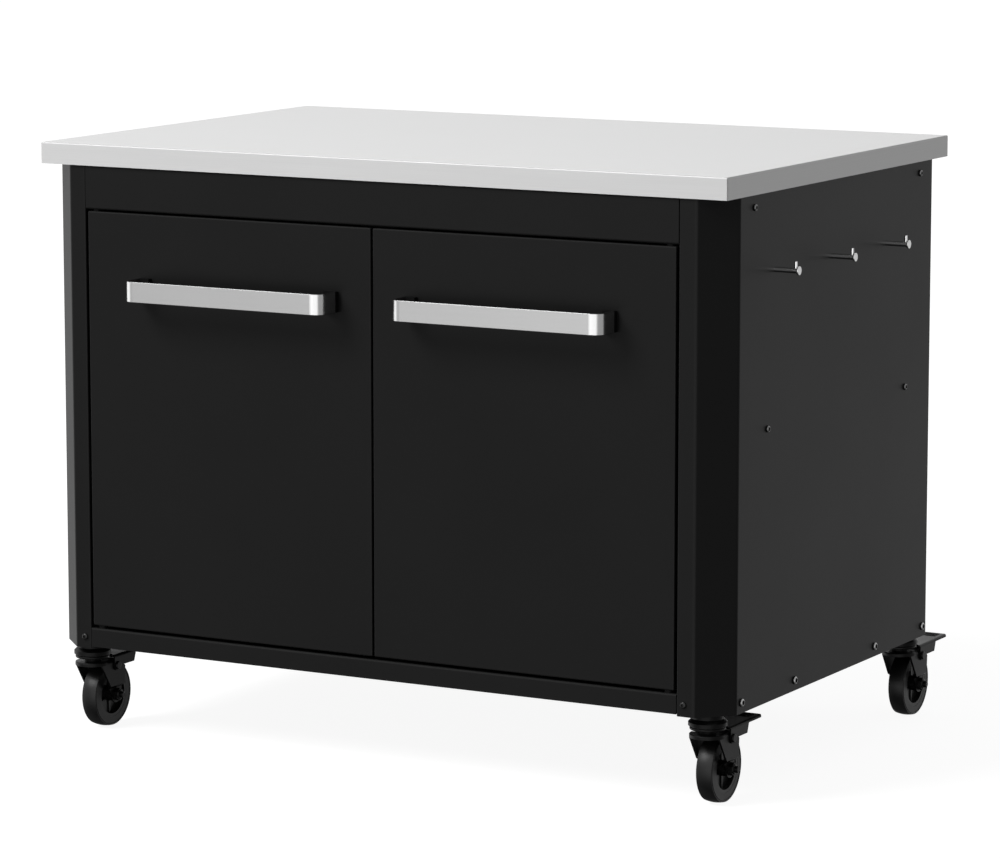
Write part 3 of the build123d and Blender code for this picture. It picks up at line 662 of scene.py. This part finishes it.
# %% [markdown]
# ## Sections and full turns
# A moulded tyre carries a thin raised ring on each side, a lock nut ends in a collar that
# grips the bolt, and a seal keeps grit out of the ball race. All of these are round, so each
# is a small closed section that is spun once about the piece's axis. Two helpers draw a section
# beside an axis, one as a circle and one from corners, and a third spins it.

# %% Ring helpers
RING_STEPS = 72
SECTION_STEPS = 12


def round_section(mesh, centre, axis, radius, thickness):
    """A circle at a radius from the axis, in the plane that holds the axis."""
    out = axis.orthogonal().normalized()
    turned = Matrix((axis.cross(out), out, axis)).transposed().to_4x4()
    upright = turned @ Matrix.Rotation(math.pi / 2, 4, "Y")
    spot = Matrix.Translation(centre + out * radius) @ upright
    before = set(mesh.edges)
    made = bmesh.ops.create_circle(mesh, segments=SECTION_STEPS, radius=thickness, matrix=spot)
    return made["verts"] + [edge for edge in mesh.edges if edge not in before]


def cornered_section(mesh, centre, axis, outline):
    """A closed line through corners, each given by its radius and its place along the axis."""
    out = axis.orthogonal().normalized()
    corners = [mesh.verts.new(centre + out * radius + axis * along) for radius, along in outline]
    return corners + [mesh.edges.new(pair) for pair in zip(corners, corners[1:] + corners[:1])]


def spin_once(mesh, section, centre, axis):
    """Turn a section once round the axis."""
    turn = {"angle": 2 * math.pi, "steps": RING_STEPS, "use_merge": True}
    bmesh.ops.spin(mesh, geom=section, cent=centre, axis=axis, **turn)


print("ring steps:", RING_STEPS)

# %% [markdown]
# ## From a bmesh to a piece
# Every added piece ends in the same way: doubled points are merged, the faces turn outward, the
# mesh becomes an object with one finish, and the piece is tied to the CAD body that it rides on.
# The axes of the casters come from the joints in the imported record, so what is added stays true
# to the CAD model.

# %% Piece helper
JOINT_PLACES = {joint["name"]: Vector(joint["pos_m"]) for joint in frame["joints"]}
MERGE_DISTANCE = 1e-6
SHARP_ANGLE = math.radians(40)


def add_piece(name, mesh, finish, body):
    """Close a bmesh into an object that rides on a CAD body."""
    bmesh.ops.remove_doubles(mesh, verts=mesh.verts, dist=MERGE_DISTANCE)
    bmesh.ops.recalc_face_normals(mesh, faces=mesh.faces)
    data = bpy.data.meshes.new(name)
    mesh.to_mesh(data)
    mesh.free()
    data.shade_smooth()
    data.set_sharp_from_angle(angle=SHARP_ANGLE)
    data.materials.append(finish)
    piece = bpy.data.objects.new(name, data)
    scene.collection.objects.link(piece)
    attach(piece, body)
    return piece


print("joints:", len(JOINT_PLACES))

# %% [markdown]
# ## Rings on the tyres
# The ring stands near the edge of each side wall of the tyre. Half of its round section is sunk
# in the rubber, and the other half shows as a fine raised line that turns with the wheel.

# %% Tyre rings
AXLE = Vector((1.0, 0.0, 0.0))
TYRE_SIDE = 0.012  # from the wheel's middle to the side wall
RING_RADIUS = 0.0462
RING_THICKNESS = 0.0007

for corner in CORNERS:
    wheel_centre = JOINT_PLACES[f"wheel_spin_{corner}"]
    rings = bmesh.new()
    for side in (-1, 1):
        middle = wheel_centre + AXLE * side * TYRE_SIDE
        section = round_section(rings, middle, AXLE, RING_RADIUS, RING_THICKNESS)
        spin_once(rings, section, middle, AXLE)
    add_piece(f"tyre_rings_{corner}", rings, tyre_rubber, f"wheel_{corner}")
print("tyre rings:", 2 * len(CORNERS))

# %% [markdown]
# ## Collars on the lock nuts
# The collar of a lock nut holds a plastic insert that grips the thread. It stands on the nut's
# outer face, is narrower than the nut, and slopes inward at its end. Nut and bolt turn with the
# fork, so the collar rides on the swivel.

# %% Lock nut collars
NUT_FACE = 0.025  # from the wheel's middle along the axle
COLLAR = ((0.0052, 0.0), (0.0076, 0.0), (0.0073, 0.0009), (0.0066, 0.0014), (0.0052, 0.0014))

for corner in CORNERS:
    nut_centre = JOINT_PLACES[f"wheel_spin_{corner}"] + AXLE * NUT_FACE
    collar = bmesh.new()
    spin_once(collar, cornered_section(collar, nut_centre, AXLE, COLLAR), nut_centre, AXLE)
    add_piece(f"lock_nut_collar_{corner}", collar, caster_bolt, f"swivel_{corner}")
print("collars:", len(CORNERS))

# %% [markdown]
# ## Seals in the ball races
# A rubber cord closes the gap between the fixed cup and the turning race of each caster. It is
# held by the cup, so it rides on the cabinet and stays still when the caster swivels.

# %% Race seals
UP = Vector((0.0, 0.0, 1.0))
SEAL_HEIGHT = 0.11805
SEAL_RADIUS = 0.0249
SEAL_THICKNESS = 0.00093

for corner in CORNERS:
    swivel = JOINT_PLACES[f"swivel_turn_{corner}"]
    seal_centre = Vector((swivel.x, swivel.y, SEAL_HEIGHT))
    seal = bmesh.new()
    section = round_section(seal, seal_centre, UP, SEAL_RADIUS, SEAL_THICKNESS)
    spin_once(seal, section, seal_centre, UP)
    add_piece(f"race_seal_{corner}", seal, tyre_rubber, "cabinet")
print("seals:", len(CORNERS))

# %% [markdown]
# ## Ribs on the brake pedals
# A foot slips on a bare pressing, so the pedal has three low ribs across its end. Each rib
# starts as a cube, is stretched to a bar, and has all its edges bevelled round.

# %% Pedal ribs
RIB_SIZE = (0.036, 0.0026, 0.0020)
RIB_PLACES = (0.098, 0.106, 0.114)  # behind the swivel axis
PEDAL_TOP = 0.114
RIB_EDGES = {"offset": 0.0009, "offset_type": "OFFSET", "segments": 3, "profile": 0.5}

for corner in CORNERS:
    swivel = JOINT_PLACES[f"swivel_turn_{corner}"]
    ribs = bmesh.new()
    for reach in RIB_PLACES:
        made = bmesh.ops.create_cube(ribs, size=1.0)
        bmesh.ops.scale(ribs, vec=RIB_SIZE, verts=made["verts"])
        spot = (swivel.x, swivel.y + reach, PEDAL_TOP)
        bmesh.ops.translate(ribs, vec=spot, verts=made["verts"])
    bmesh.ops.bevel(ribs, geom=list(ribs.edges), affect="EDGES", material=-1, **RIB_EDGES)
    add_piece(f"pedal_ribs_{corner}", ribs, caster_dip, f"pedal_{corner}")
print("pedal ribs:", len(RIB_PLACES) * len(CORNERS))
